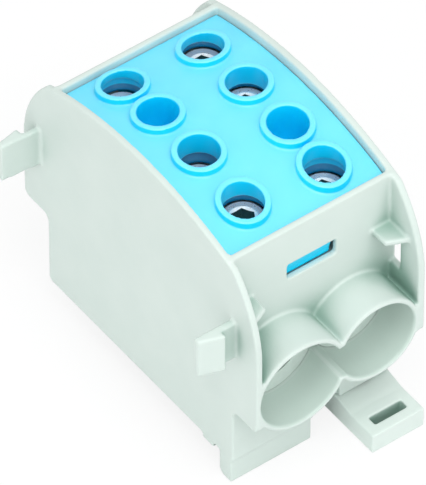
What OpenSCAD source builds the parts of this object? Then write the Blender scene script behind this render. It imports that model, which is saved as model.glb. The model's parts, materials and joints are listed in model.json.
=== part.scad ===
// Single-pole power distribution block for 35 mm mounting rail.
// X runs along the rail, Y along the conductors (front towards -Y), Z up.
// The origin is the centre of the face that seats on the rail.

/* [Housing] */
// Width along the rail, over the side walls
body_w = 35; // [34.5:0.5:38]
// Length over the entry funnels
body_l = 66; // [64:1:70]
// Height of the side walls' crown above the rail seat
crown_z = 51.8; // [51:0.2:54]
// Radius of the arched top of the side walls
crown_r = 74; // [70:1:90]
// Radius of the curved shoulders of the side walls
flank_r = 26; // [24:1:28]
// Height at which the shoulders turn vertical
flank_z = 29.5; // [28.5:0.5:30.5]
// Thickness of the side walls
side_t = 1.3; // [1.1:0.1:1.5]
// Thickness of the end walls
end_t = 1.2; // [1.1:0.1:1.5]
// Length over the end walls
end_l = 49.4; // [49:0.2:50]
// Length of the lower body
lower_l = 52.4; // [52:0.2:54]
// Wall thickness of the lower body's skirt
skirt_t = 1.5; // [1.2:0.1:2]
// Thickness of the floor under the clamp block
floor_t = 2; // [1.5:0.25:2.5]
// Height of the end walls' level top above the rail seat
end_top_z = 47.8; // [47.4:0.1:48]
// Underside of the overhanging ends beside the large entries
step_large_z = 12.8; // [12:0.2:14]
// Underside of the overhanging ends beside the small entries
step_small_z = 15.8; // [15:0.2:17]

/* [Entries] */
// Spacing of the two conductor entries at one end
entry_pitch = 15.8; // [15.4:0.1:16]
// Inner radius of the funnel for the large conductor
large_funnel_r = 8.5; // [8.2:0.1:8.6]
// Height of the large funnel's axis
large_funnel_z = 18.8; // [18.4:0.1:19.2]
// Inner radius of the funnel for the small conductor
small_funnel_r = 7.6; // [7.2:0.1:8]
// Height of the small funnel's axis
small_funnel_z = 19.5; // [19.2:0.1:20]
// Wall thickness of the funnels
funnel_t = 1; // [0.8:0.1:1.1]
// Rounding of the funnel mouths
lip_r = 0.45; // [0.3:0.05:0.5]
// Thickness of the web between two funnels at its rounded tips
web_tip = 1.6; // [1.2:0.1:1.8]
// Height at which the lower web ends
web_low_z = 15.4; // [15:0.2:16]
// Height at which the upper web begins
web_high_z = 22.7; // [22.4:0.2:23.2]

/* [Clamp block] */
// Radius of the clamping bore for the large conductor
large_bore_r = 5.5; // [5:0.1:6]
// Depth of the large clamping bore
large_bore_l = 24.9; // [24.4:0.1:25]
// Radius of the clamping bore for the small conductor
small_bore_r = 4.8; // [4.4:0.1:5.2]
// Depth of the small clamping bore
small_bore_l = 20.5; // [20:0.1:21]
// Height of the bores' centres above the funnels' axes
bore_lift = 0.4; // [0:0.1:0.8]
// Thickness of the metal under the large bore
block_under = 4.4; // [3.8:0.1:4.6]
// Height of the round spigots that fill the roots of the funnels
spigot_h = 0.9; // [0.6:0.1:1.1]
// Height of the clamp block
block_h = 25.4; // [24.5:0.1:26]

/* [Clamp screws] */
// Nominal radius of the clamping screws
screw_r = 3.95; // [3.7:0.05:4]
// Length of the clamping screws
screw_l = 16; // [15:0.5:16.5]
// Width across flats of the hexagon sockets
socket_af = 4; // [3:0.5:4.5]
// Depth of the hexagon sockets
socket_depth = 4.5; // [3:0.5:6]
// Top of the inner screw over the large bore at the front
front_inner_top = 44; // [43:0.1:46]
// Top of the outer screw over the large bore at the front
front_outer_top = 45.3; // [43:0.1:45.6]
// Top of the inner screw over the large bore at the back
back_inner_top = 45.8; // [43:0.1:46]
// Top of the outer screw over the large bore at the back
back_outer_top = 45.2; // [43:0.1:45.6]
// Top of the screw over the small bore at the front
front_small_top = 43.3; // [42:0.1:44.5]
// Top of the screw over the small bore at the back
back_small_top = 43.5; // [42:0.1:44.5]
// Distance from the middle to the inner screw of a large bore
inner_screw_y = 4.05; // [3.8:0.05:4.3]
// Distance from the middle to the outer screw of a large bore
outer_screw_y = 16.2; // [15.9:0.05:16.6]
// Distance from the middle to the screw of a small bore
small_screw_y = 17.4; // [17:0.05:17.6]
// Distance from the middle to the blind collar of a small bore
blind_y = 7.45; // [7:0.05:7.5]

/* [Cover] */
// Height of the cover's crown above the rail seat
cover_z = 50; // [49.6:0.1:50.4]
// Radius of the cover's arch
cover_r = 78; // [76:1:90]
// Thickness of the cover
cover_t = 1.8; // [1.5:0.1:2]
// Inner radius of the collars
collar_r = 3.6; // [3.3:0.1:3.8]
// Wall thickness of the collars
collar_t = 1.1; // [1:0.1:1.3]
// Height of the collars above the cover
collar_h = 1.4; // [1:0.1:1.8]
// How far the screw sleeves end below the crown of the cover
sleeve_drop = 3.3; // [3:0.1:3.6]
// Depth of the cups below the two collars that hold no screw
cup_depth = 8.5; // [6:0.5:9]
// Width of the lugs that snap into the end walls
lug_w = 9.4; // [8:0.2:11]
// Height of the lug windows
lug_window_h = 3.4; // [3:0.1:3.6]
// Underside of the lug windows
lug_window_z = 35.7; // [35.2:0.1:36]

/* [Coupling hooks] */
// Reach of the hooks beyond the side wall
hook_reach = 7.8; // [7:0.1:9]
// Height of the hooks
hook_h = 8.3; // [7.5:0.1:8.6]
// Underside of the hooks
hook_z = 27.3; // [27:0.1:27.6]
// Thickness of the hook shanks
hook_t = 1.3; // [1.1:0.1:1.5]
// Step of the barbs
barb_step = 1.5; // [1:0.1:1.6]
// Distance from the wall to the barbs
barb_reach = 3.1; // [2.8:0.1:4]
// Distance from the middle to the front hook's catching face
front_hook_y = 27.3; // [27:0.1:27.5]
// Distance from the middle to the back hook's plain face
back_hook_y = 27.6; // [27.4:0.1:28]
// Room round a hook in its window
hook_room = 0.25; // [0.2:0.05:0.4]
// Thickness of the shelves over the windows
shelf_t = 1; // [0.8:0.1:1.2]

/* [Rail foot] */
// Width of the mounting rail
rail_w = 35; // [34.8:0.1:35.2]
// Thickness of the rail's edges
rail_t = 1; // [0.9:0.1:1.1]
// Depth of the foot below the rail seat
foot_h = 5.4; // [5.2:0.1:6]
// Grip of the claw and of the latch under the rail's edges
rail_grip = 1.7; // [1.4:0.1:2]
// Width of the rail latch
latch_w = 11; // [10:0.5:11]
// Distance from the middle to the latch's outer end
latch_reach = 34.8; // [34:0.2:37]
// Distance from the middle plane to the latch's centre line
latch_x = 11; // [10.5:0.1:11]
// Length of the screwdriver slot in the latch
latch_slot_l = 6.8; // [6:0.1:8]
// Width of the screwdriver slot in the latch
latch_slot_w = 1.9; // [1.5:0.1:2.2]
// Travel of the latch
latch_travel = 3.5; // [3:0.1:3.6]

/* [Fits] */
// Gap between moving or inserted pieces and their seats
fit_gap = 0.1; // [0.08:0.01:0.15]
// Radial clearance of the screws in their threads
thread_gap = 0.05; // [0.03:0.01:0.08]

/* [Hidden] */

HOUSING_COLOR = "#d6e3dd";
COVER_COLOR = "#62d3f5";
BLOCK_COLOR = "#b9bcbb";
SCREW_COLOR = "#c9ccce";

eps = 0.01;
round_n = 64;
arch_n = 360;
half_w = body_w / 2;
inner_w = body_w - 2 * side_t;
reach = body_l / 2;
end_y = end_l / 2;
lower_y = lower_l / 2;
flank_y = reach - flank_r;
entry_x = entry_pitch / 2;
// The block stands on the floor, and the large bore sets its height
block_z = large_funnel_z + bore_lift - large_bore_r - block_under;
block_top = block_z + block_h;
block_l = end_l - 2 * end_t - 2 * fit_gap;
floor_z = block_z - fit_gap / 2;
sill_z = lug_window_z + lug_window_h;
shelf_z = hook_z + hook_h + hook_room + shelf_t;
shelf_x = entry_x + 4.4;
// The claws and the latch lie in the depth of the foot
grip_z = -rail_t - 0.2;
rail_y = rail_w / 2 + 0.2;
lip_y = rail_w / 2 - rail_grip;
// The ribs between the claws stand this much below the skirts and walls
seat_step = 0.05;
seat_y = lip_y - 0.4;
foot_t = 3.3;
foot_w = half_w - 0.6;
claw_w = 24;
claw_t = 2;
latch_head_w = 7.4;
latch_stem_w = 3.6;
latch_head_l = 6;
guide_lip = 1.2;
guide_t = 1.2;
latch_head_y = 20.8;

// ---- Shared outlines, drawn in Y and Z and set up along X ----

module across(x0, x1) {
    translate([x0, 0, 0])
        rotate([90, 0, 90])
            linear_extrude(x1 - x0)
                children();
}

module arch(radius, top) {
    translate([0, top - radius])
        circle(radius, $fn = arch_n);
}

// Outline of the upper housing: arched top, curved shoulders, straight ends
module upper_outline() {
    intersection() {
        union() {
            for (side = [-1, 1])
                translate([side * flank_y, flank_z])
                    circle(flank_r, $fn = arch_n);
            translate([-flank_y, flank_z])
                square([2 * flank_y, flank_r]);
        }
        arch(crown_r, crown_z);
        translate([-reach, flank_z - eps])
            square([2 * reach, crown_z]);
    }
    // The end beside the large entry hangs lower
    step_end(step_small_z);
    mirror([1, 0])
        step_end(step_large_z);
}

// One overhanging end towards +Y: rounded tip, fillet against the lower body
module step_end(z) {
    tip = 1.6;
    fillet = 1.5;
    translate([0, z])
        square([reach - tip, flank_z - z]);
    translate([0, z + tip])
        square([reach, flank_z - z - tip]);
    translate([reach - tip, z + tip])
        circle(tip, $fn = round_n);
    difference() {
        translate([lower_y - eps, z - fillet])
            square([fillet + eps, fillet + eps]);
        translate([lower_y + fillet, z - fillet])
            circle(fillet, $fn = round_n);
    }
}

// Outline of the lower body, rounded at its lower back corner
module lower_outline() {
    corner = 1.2;
    translate([-lower_y, seat_step])
        square([lower_l - corner, step_large_z]);
    translate([-lower_y, corner])
        square([lower_l, step_small_z - corner]);
    translate([lower_y - corner, corner])
        circle(corner, $fn = round_n);
}

// ---- Housing ----

// One side wall; the large entry lies at its -Y end
module side_wall() {
    across(-half_w, -half_w + side_t) {
        upper_outline();
        lower_outline();
        // Locating nib beside the rail's edge
        translate([-rail_y - 3.1, -1])
            square([3.1, 1 + 4 * seat_step]);
    }
}

// Box below the funnels: end skirts, side skirts and the floor
module lower_body() {
    difference() {
        across(-half_w, half_w)
            translate([-lower_y, seat_step])
                square([lower_l, step_large_z]);
        translate([-half_w + skirt_t, -lower_y + skirt_t, -eps])
            cube([body_w - 2 * skirt_t, lower_l - 2 * skirt_t, floor_z - floor_t + eps]);
        translate([-inner_w / 2, -end_y + end_t, floor_z])
            cube([inner_w, end_l - 2 * end_t, step_large_z]);
        // Relief of the lower back edge
        translate([-half_w - eps, lower_y - 1.2, -eps])
            cube([body_w + 2 * eps, 1.2 + eps, 1.2]);
    }
}

// Wall over one end, with the window for the cover's lug
module end_wall() {
    difference() {
        translate([-half_w + side_t / 2, -end_y, floor_z])
            cube([body_w - side_t, end_t, end_top_z - floor_z]);
        translate([-lug_w / 2 - 0.3, -end_y - eps, lug_window_z])
            cube([lug_w + 0.6, end_t + 2 * eps, lug_window_h]);
    }
}

function cover_edge_z() =
    cover_z - cover_r + sqrt(cover_r ^ 2 - (end_y - end_t) ^ 2);

// Outside of one funnel, with a rounded mouth
module funnel_shell(radius, height, side) {
    outer = radius + funnel_t;
    tube_l = reach - end_y + end_t;
    translate([side * entry_x, -reach, height])
        rotate([-90, 0, 0]) {
            translate([0, 0, lip_r])
                cylinder(h = tube_l - lip_r, r = outer, $fn = 2 * round_n);
            rotate_extrude($fn = 2 * round_n)
                union() {
                    square([outer - lip_r, lip_r + eps]);
                    translate([outer - lip_r, lip_r])
                        circle(lip_r, $fn = round_n);
                }
        }
}

// Bore of one funnel, flared at the mouth by the lip's rounding
module funnel_bore(radius, height, side) {
    tube_l = reach - end_y + end_t;
    translate([side * entry_x, -reach, height])
        rotate([-90, 0, 0]) {
            translate([0, 0, -eps])
                cylinder(h = tube_l + 2 * eps, r = radius, $fn = 2 * round_n);
            rotate_extrude($fn = 2 * round_n)
                difference() {
                    translate([0, -eps])
                        square([radius + lip_r, lip_r + eps]);
                    translate([radius + lip_r, lip_r])
                        circle(lip_r, $fn = round_n);
                }
        }
}

// Gap where the web between two funnels is cut back, between rounded tips
module web_gap() {
    tip = web_tip / 2;
    middle_x = entry_x - small_funnel_r + tip / 2;
    translate([middle_x, -reach - eps, 0])
        rotate([-90, 0, 0])
            linear_extrude(reach - end_y + end_t + 2 * eps)
                mirror([0, 1])
                    difference() {
                        translate([-tip, web_low_z - tip])
                            square([2 * tip, web_high_z - web_low_z + 2 * tip]);
                        translate([0, web_low_z - tip])
                            circle(tip, $fn = round_n);
                        translate([0, web_high_z + tip])
                            circle(tip, $fn = round_n);
                    }
}

module funnels() {
    funnel_shell(large_funnel_r, large_funnel_z, -1);
    funnel_shell(small_funnel_r, small_funnel_z, 1);
}

module funnel_bores() {
    funnel_bore(large_funnel_r, large_funnel_z, -1);
    funnel_bore(small_funnel_r, small_funnel_z, 1);
    web_gap();
}

// Shelf over a window, cut off slantwise from the wall to the end wall
module shelf() {
    translate([0, 0, shelf_z - shelf_t])
        linear_extrude(shelf_t)
            polygon([
                [shelf_x, -end_y + eps], [half_w - eps, -end_y + eps],
                [half_w - eps, -end_y - 6.1], [shelf_x, -end_y - 3.8]
            ]);
}

// One end of the housing; the other end is this one turned about
module housing_end() {
    end_wall();
    funnels();
    shelf();
    mirror([1, 0, 0])
        shelf();
}

// Plan of a hook: shank from the wall, barb with a tapered lead-in
module hook_plan(taper) {
    polygon([
        [side_t, 0], [side_t, hook_t], [-barb_reach, hook_t],
        [-barb_reach, hook_t + barb_step], [-hook_reach, hook_t + taper],
        [-hook_reach, taper]
    ]);
}

module hooks() {
    translate([-half_w, -front_hook_y + hook_t, hook_z])
        mirror([0, 1, 0])
            linear_extrude(hook_h)
                hook_plan(-0.1);
    translate([-half_w, back_hook_y, hook_z])
        linear_extrude(hook_h)
            hook_plan(0.6);
}

// Windows in the +X wall that take a neighbour's hooks
module hook_windows() {
    win_h = hook_h + 2 * hook_room;
    translate([half_w - side_t - eps, -front_hook_y - hook_room, hook_z - hook_room])
        cube([side_t + 2 * eps, front_hook_y + hook_room - end_y, win_h]);
    translate([half_w - side_t - eps, back_hook_y - hook_room, hook_z - hook_room])
        cube([side_t + 2 * eps, hook_t + barb_step + 2 * hook_room, win_h]);
}

// Fixed claw that takes the back edge of the rail
module fixed_claw() {
    bevel = 1.2;
    across(-claw_w / 2, claw_w / 2)
        polygon([
            [rail_y, 1], [rail_y, grip_z], [lip_y, grip_z],
            [lip_y, grip_z - 0.9], [lip_y + bevel, -foot_h],
            [rail_y + claw_t + 1, -foot_h], [rail_y + claw_t + 1, 1]
        ]);
    // Webs that carry the claw
    for (x = [-claw_w / 2, 0, claw_w / 2 - skirt_t])
        across(x, x + skirt_t)
            polygon([
                [rail_y, 0], [rail_y, -foot_h], [rail_y + claw_t + 1, -foot_h],
                [lower_y - 1.2, -0.4], [lower_y - 1.2, 1], [rail_y, 1]
            ]);
}

// Foot wall beside the latch, rounded at its lower inner edge
module front_foot() {
    corner = 1.5;
    front = lower_y - 0.4;
    across(-half_w, -half_w + foot_w) {
        translate([-front, -foot_h + corner])
            square([foot_t, foot_h - corner + 1]);
        translate([-front, -foot_h])
            square([foot_t - corner, corner + eps]);
        translate([-front + foot_t - corner, -foot_h + corner])
            circle(corner, $fn = round_n);
    }
}

// Ribs under the floor; their lower edges seat on the rail
module seat_ribs() {
    rib_t = 1.4;
    rib_h = floor_z - floor_t + eps;
    for (x = [-foot_w / 1.5, 0, latch_x - latch_head_w / 2 - guide_t - rib_t])
        translate([x - rib_t / 2, -seat_y, 0])
            cube([rib_t, 2 * seat_y, rib_h]);
    for (y = [-seat_y, seat_y - rib_t])
        translate([-inner_w / 2, y, 0])
            cube([inner_w, rib_t, rib_h]);
    for (x = [-foot_w / 1.5, 0])
        translate([x - rib_t / 2, -lower_y + eps, seat_step])
            cube([rib_t, lower_l - 2 * eps - 1.2, rib_h - seat_step]);
}

// Box round the latch's head, with a slot that its stem slides in
module latch_guide() {
    room = 2 * fit_gap;
    well_w = latch_head_w + 2 * room;
    well_h = 2;
    front = latch_head_y + latch_travel + room;
    well_l = latch_head_l + latch_travel + 2 * room;
    difference() {
        translate([latch_x - well_w / 2 - guide_t, -front - guide_t, seat_step])
            cube([well_w + 2 * guide_t, well_l + 2 * guide_t, guide_lip + well_h + guide_t]);
        translate([latch_x - well_w / 2, -front, guide_lip])
            cube([well_w, well_l, well_h]);
        translate([latch_x - latch_stem_w / 2 - room, -front - guide_t - eps, -eps])
            cube([latch_stem_w + 2 * room, well_l + guide_t + eps, guide_lip + 2 * eps]);
    }
}

// Room for the latch's head, cut through the ribs and the end skirt
module latch_guide_room() {
    room = 2 * fit_gap;
    front = latch_head_y + latch_travel + room;
    translate([latch_x - latch_head_w / 2 - room, -front, guide_lip])
        cube([latch_head_w + 2 * room, latch_head_l + latch_travel + 2 * room, 2]);
    translate([latch_x - latch_stem_w / 2 - room, -front, -eps])
        cube([latch_stem_w + 2 * room, latch_head_l + latch_travel + 2 * room, guide_lip + 2 * eps]);
}

module housing() {
    color(HOUSING_COLOR)
        difference() {
            union() {
                side_wall();
                rotate([0, 0, 180])
                    side_wall();
                lower_body();
                for (turn = [0, 180])
                    rotate([0, 0, turn])
                        housing_end();
                hooks();
                fixed_claw();
                front_foot();
                seat_ribs();
                latch_guide();
            }
            for (turn = [0, 180])
                rotate([0, 0, turn])
                    funnel_bores();
            hook_windows();
            latch_guide_room();
        }
}

// ---- Clamp block ----

// Round spigots of one end, which fill the roots of the funnels
module block_spigots() {
    face = block_l / 2;
    intersection() {
        union() {
            translate([-entry_x, -face - spigot_h, large_funnel_z])
                rotate([-90, 0, 0])
                    cylinder(h = spigot_h + 1, r = large_funnel_r - 1.2 * fit_gap, $fn = 2 * round_n);
            translate([entry_x, -face - spigot_h, small_funnel_z])
                rotate([-90, 0, 0])
                    cylinder(h = spigot_h + 1, r = small_funnel_r - 1.2 * fit_gap, $fn = 2 * round_n);
        }
        translate([-inner_w / 2 + 2 * fit_gap, -reach, block_z])
            cube([inner_w - 4 * fit_gap, body_l, block_h]);
    }
}

// Bores and threads of one end; the large bore lies on the -X side
module block_bores() {
    face = block_l / 2 + spigot_h;
    translate([-entry_x, -face - eps, large_funnel_z + bore_lift])
        rotate([-90, 0, 0])
            cylinder(h = large_bore_l + eps, r = large_bore_r, $fn = round_n);
    translate([entry_x, -face - eps, small_funnel_z + bore_lift])
        rotate([-90, 0, 0])
            cylinder(h = small_bore_l + eps, r = small_bore_r, $fn = round_n);
    for (y = [inner_screw_y, outer_screw_y])
        translate([-entry_x, -y, large_funnel_z + bore_lift])
            cylinder(h = block_h, r = screw_r + thread_gap, $fn = round_n);
    translate([entry_x, -small_screw_y, small_funnel_z + bore_lift])
        cylinder(h = block_h, r = screw_r + thread_gap, $fn = round_n);
}

module clamp_block() {
    width = inner_w - 4 * fit_gap;
    color(BLOCK_COLOR)
        difference() {
            union() {
                translate([-width / 2, -block_l / 2, block_z])
                    cube([width, block_l, block_h]);
                for (turn = [0, 180])
                    rotate([0, 0, turn])
                        block_spigots();
            }
            for (turn = [0, 180])
                rotate([0, 0, turn])
                    block_bores();
        }
}

// ---- Clamp screws ----

// Headless screw with a hexagon socket and bevelled ends; its top is at z = 0
module clamp_screw() {
    bevel = 0.7;
    color(SCREW_COLOR)
        difference() {
            rotate_extrude($fn = round_n)
                polygon([
                    [0, 0], [screw_r - bevel, 0], [screw_r, -bevel],
                    [screw_r, -screw_l + 1.5 * bevel], [screw_r - 1.5 * bevel, -screw_l],
                    [0, -screw_l]
                ]);
            translate([0, 0, -socket_depth])
                cylinder(h = socket_depth + eps, r = socket_af / sqrt(3), $fn = 6);
        }
}

module large_screw(end, y, top) {
    translate([-end * entry_x, -end * y, top])
        clamp_screw();
}

module small_screw(end, top) {
    translate([end * entry_x, -end * small_screw_y, top])
        clamp_screw();
}

// ---- Cover ----

// Every collar of one end as [x, y, underside of its sleeve, floor or none]
cup_floor = 1.2;
sleeve_z = cover_z - sleeve_drop;
cup_z = cover_z + collar_h - cup_depth - cup_floor;
END_COLLARS = [
    [-entry_x, -inner_screw_y, sleeve_z, false],
    [-entry_x, -outer_screw_y, sleeve_z, false],
    [entry_x, -small_screw_y, sleeve_z, false],
    [entry_x, -blind_y, cup_z, true]
];

// Solid under the cover's arch, raised by lift
module under_arch(lift, width, length) {
    intersection() {
        translate([-width / 2, -length / 2, cup_z - 2])
            cube([width, length, cover_z]);
        across(-width, width)
            arch(cover_r + lift, cover_z + lift);
    }
}

// A collar follows the arch with its rim; its sleeve ends level
module collar_shell(c) {
    intersection() {
        translate([c[0], c[1], c[2]])
            cylinder(h = cover_z, r = collar_r + collar_t, $fn = round_n);
        across(-half_w, half_w)
            arch(cover_r + collar_h, cover_z + collar_h);
    }
}

module collar_hole(c) {
    bottom = c[3] ? c[2] + cup_floor : cup_z;
    translate([c[0], c[1], bottom])
        cylinder(h = cover_z, r = collar_r, $fn = round_n);
}

// Level underside of an open sleeve, wide enough for the screw to rise into
module sleeve_relief(c) {
    translate([c[0], c[1], cup_z - eps])
        cylinder(h = c[2] - cup_z + eps, r = screw_r + 0.5, $fn = round_n);
}

// Tab that hangs from the cover's end, with a wedge that snaps into the wall
module lug() {
    back = end_y - end_t - fit_gap;
    tip = end_y - 0.7;
    top = sill_z - fit_gap;
    across(-lug_w / 2, lug_w / 2)
        mirror([1, 0])
            polygon([
                [back - 1.2, lug_window_z - 0.3], [back, lug_window_z - 0.3],
                [back, lug_window_z + 0.8], [tip, top - 0.5], [tip, top], [back, top],
                [back, cover_edge_z() - 0.8], [back - 1.2, cover_edge_z() - 0.8]
            ]);
}

module top_cover() {
    width = inner_w - 2 * fit_gap;
    length = end_l - 2 * end_t - 2 * fit_gap;
    color(COVER_COLOR)
        difference() {
            union() {
                difference() {
                    under_arch(0, width, length);
                    under_arch(-cover_t, width + 1, length + 1);
                }
                for (turn = [0, 180])
                    rotate([0, 0, turn]) {
                        for (c = END_COLLARS)
                            collar_shell(c);
                        lug();
                    }
            }
            for (turn = [0, 180])
                rotate([0, 0, turn])
                    for (c = END_COLLARS) {
                        collar_hole(c);
                        if (!c[3])
                            sleeve_relief(c);
                    }
        }
}

// ---- Rail latch ----

// Slide under the foot: nose under the rail, slotted end for a screwdriver
module rail_latch() {
    top = grip_z + 0.1;
    nose_top = grip_z - 0.1;
    bottom = -foot_h + 0.1;
    nose = lip_y;
    head_z = guide_lip + fit_gap;
    shoulder = rail_y + 0.4;
    ramp = latch_reach - 6.1;
    color(HOUSING_COLOR)
        difference() {
            union() {
                across(latch_x - latch_w / 2, latch_x + latch_w / 2)
                    polygon([
                        [-latch_reach, bottom], [-nose - 1.2, bottom], [-nose, bottom + 1.6],
                        [-nose, nose_top], [-shoulder, nose_top], [-shoulder, -fit_gap],
                        [-lower_y + 2, -fit_gap], [-ramp, top], [-latch_reach, top]
                    ]);
                translate([latch_x - latch_stem_w / 2, -latch_head_y, -0.5])
                    cube([latch_stem_w, latch_head_l - 2.6, head_z + 0.5 + eps]);
                translate([latch_x - latch_head_w / 2, -latch_head_y, head_z])
                    cube([latch_head_w, latch_head_l, 1.7]);
            }
            translate([latch_x - latch_slot_l / 2, -latch_reach + 2.05, bottom - eps])
                cube([latch_slot_l, latch_slot_w, foot_h]);
        }
}

// ---- Placement ----

housing();
top_cover();
clamp_block();
rail_latch();
large_screw(1, inner_screw_y, front_inner_top);  // large_screw_front_inner
large_screw(1, outer_screw_y, front_outer_top);  // large_screw_front_outer
large_screw(-1, inner_screw_y, back_inner_top);  // large_screw_back_inner
large_screw(-1, outer_screw_y, back_outer_top);  // large_screw_back_outer
small_screw(1, front_small_top);  // small_screw_front
small_screw(-1, back_small_top);  // small_screw_back
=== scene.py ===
"""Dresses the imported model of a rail-mounted power distribution block.

The housing, the cover and the rail latch get softly rounded copies of their
solids, as moulded polyamide has. The clamp screws get threads and countersunk
sockets, and the clamp block keeps its solid under a tinned finish.
"""

from __future__ import annotations

import json
import logging
import math
from dataclasses import dataclass, field
from enum import Enum

import bmesh  # noqa: E402
import bpy  # noqa: E402
from mathutils import Matrix, Vector  # noqa: E402

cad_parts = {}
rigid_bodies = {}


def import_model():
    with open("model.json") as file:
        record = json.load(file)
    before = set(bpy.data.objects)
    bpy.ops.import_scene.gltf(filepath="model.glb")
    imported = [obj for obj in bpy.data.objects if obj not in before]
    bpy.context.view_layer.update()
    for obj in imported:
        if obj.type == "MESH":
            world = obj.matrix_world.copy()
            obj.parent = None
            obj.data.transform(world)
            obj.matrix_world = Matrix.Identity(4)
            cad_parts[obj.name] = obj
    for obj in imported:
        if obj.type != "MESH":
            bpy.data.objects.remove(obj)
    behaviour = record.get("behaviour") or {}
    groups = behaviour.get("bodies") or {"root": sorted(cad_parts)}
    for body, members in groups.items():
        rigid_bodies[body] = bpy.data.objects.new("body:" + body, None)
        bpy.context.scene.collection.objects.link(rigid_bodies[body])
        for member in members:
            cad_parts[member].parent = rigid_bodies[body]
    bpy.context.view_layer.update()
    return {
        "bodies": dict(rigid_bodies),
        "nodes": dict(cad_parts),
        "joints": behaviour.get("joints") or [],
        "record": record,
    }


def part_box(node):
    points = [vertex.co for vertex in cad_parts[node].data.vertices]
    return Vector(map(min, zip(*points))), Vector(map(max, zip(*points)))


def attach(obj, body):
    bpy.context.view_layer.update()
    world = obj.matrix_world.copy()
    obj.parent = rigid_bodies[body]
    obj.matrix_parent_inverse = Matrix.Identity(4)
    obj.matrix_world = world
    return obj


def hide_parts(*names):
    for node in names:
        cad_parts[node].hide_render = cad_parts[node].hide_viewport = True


LOG = logging.getLogger("power_block")
MM = 0.001
"""One millimetre in the frame's metres."""

MIDDLE = (0.3, 0.7)
"""The range that most of a noise lies in."""

Colour = tuple[float, float, float]
Meshes = tuple[bpy.types.Mesh, ...]


class Body(Enum):
    """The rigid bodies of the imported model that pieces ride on."""

    BASE = "base"
    LATCH = "latch"


class Slot(Enum):
    """The record's material slots of the pieces made here."""

    GREY_PLASTIC = "grey_plastic"
    BLUE_PLASTIC = "blue_plastic"
    SCREW_STEEL = "screw_steel"


# ---- Finishes ----


def new_material(name: str) -> tuple[bpy.types.Material, bpy.types.Node]:
    """Makes a material with one Principled shader.

    Args:
        name: The material's name.

    Returns:
        The material and its Principled node.
    """
    material = bpy.data.materials.new(name)
    material.use_nodes = True
    shader = next(n for n in material.node_tree.nodes if n.type == "BSDF_PRINCIPLED")
    return material, shader


def noise(
    tree: bpy.types.NodeTree, scale_per_mm: float, detail: float, roughness: float
) -> bpy.types.NodeSocket:
    """Adds a noise on Object coordinates.

    Args:
        tree: The material's node tree.
        scale_per_mm: How many features lie along one millimetre.
        detail: The noise's detail.
        roughness: The noise's roughness.

    Returns:
        The noise's Fac socket.
    """
    place = tree.nodes.new("ShaderNodeTexCoord")
    grain = tree.nodes.new("ShaderNodeTexNoise")
    grain.inputs["Scale"].default_value = scale_per_mm / MM
    grain.inputs["Detail"].default_value = detail
    grain.inputs["Roughness"].default_value = roughness
    tree.links.new(place.outputs["Object"], grain.inputs["Vector"])
    return grain.outputs["Fac"]


def remap(
    tree: bpy.types.NodeTree, value: bpy.types.NodeSocket, low: float, high: float
) -> bpy.types.NodeSocket:
    """Maps a noise's middle range onto a range of values.

    Args:
        tree: The material's node tree.
        value: The noise.
        low: The value where the noise is low.
        high: The value where the noise is high.

    Returns:
        The mapped socket.
    """
    node = tree.nodes.new("ShaderNodeMapRange")
    node.inputs["From Min"].default_value = MIDDLE[0]
    node.inputs["From Max"].default_value = MIDDLE[1]
    node.inputs["To Min"].default_value = low
    node.inputs["To Max"].default_value = high
    tree.links.new(value, node.inputs["Value"])
    return node.outputs["Result"]


def tint(
    tree: bpy.types.NodeTree, value: bpy.types.NodeSocket, one: Colour, other: Colour
) -> bpy.types.NodeSocket:
    """Blends two close colours by a noise.

    Args:
        tree: The material's node tree.
        value: The noise.
        one: The colour where the noise is low.
        other: The colour where the noise is high.

    Returns:
        The colour socket.
    """
    ramp = tree.nodes.new("ShaderNodeValToRGB")
    for stop, place, colour in zip(ramp.color_ramp.elements, MIDDLE, (one, other)):
        stop.position = place
        stop.color = (*colour, 1.0)
    tree.links.new(value, ramp.inputs["Fac"])
    return ramp.outputs["Color"]


def maths(
    tree: bpy.types.NodeTree, kind: str, one: object, other: object
) -> bpy.types.NodeSocket:
    """One Math node on two values, each a number or a socket."""
    node = tree.nodes.new("ShaderNodeMath")
    node.operation = kind
    for socket, item in zip(node.inputs, (one, other)):
        if isinstance(item, (int, float)):
            socket.default_value = item
        else:
            tree.links.new(item, socket)
    return node.outputs[0]


def object_space(
    tree: bpy.types.NodeTree,
) -> tuple[bpy.types.NodeOutputs, bpy.types.NodeOutputs]:
    """The X, Y and Z sockets of the object's coordinates and of its normal."""
    place = tree.nodes.new("ShaderNodeTexCoord")
    split = []
    for kind in ("Object", "Normal"):
        node = tree.nodes.new("ShaderNodeSeparateXYZ")
        tree.links.new(place.outputs[kind], node.inputs[0])
        split.append(node.outputs)
    return split[0], split[1]


def smooth_step(
    tree: bpy.types.NodeTree, value: bpy.types.NodeSocket, none: float, full: float
) -> bpy.types.NodeSocket:
    """A smooth step of a value, from 0 at none to 1 at full."""
    node = tree.nodes.new("ShaderNodeMapRange")
    node.interpolation_type = "SMOOTHSTEP"
    node.inputs["From Min"].default_value = none
    node.inputs["From Max"].default_value = full
    tree.links.new(value, node.inputs["Value"])
    return node.outputs["Result"]


def blended(
    tree: bpy.types.NodeTree,
    share: bpy.types.NodeSocket,
    one: Colour,
    other: bpy.types.NodeSocket,
) -> bpy.types.NodeSocket:
    """Blends a fixed colour, at a share of 0, to another, at a share of 1."""
    node = tree.nodes.new("ShaderNodeMix")
    node.data_type = "RGBA"
    colours = [plug for plug in node.inputs if plug.type == "RGBA"]
    tree.links.new(share, node.inputs[0])
    colours[0].default_value = (*one, 1.0)
    tree.links.new(other, colours[1])
    return next(plug for plug in node.outputs if plug.type == "RGBA")


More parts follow.
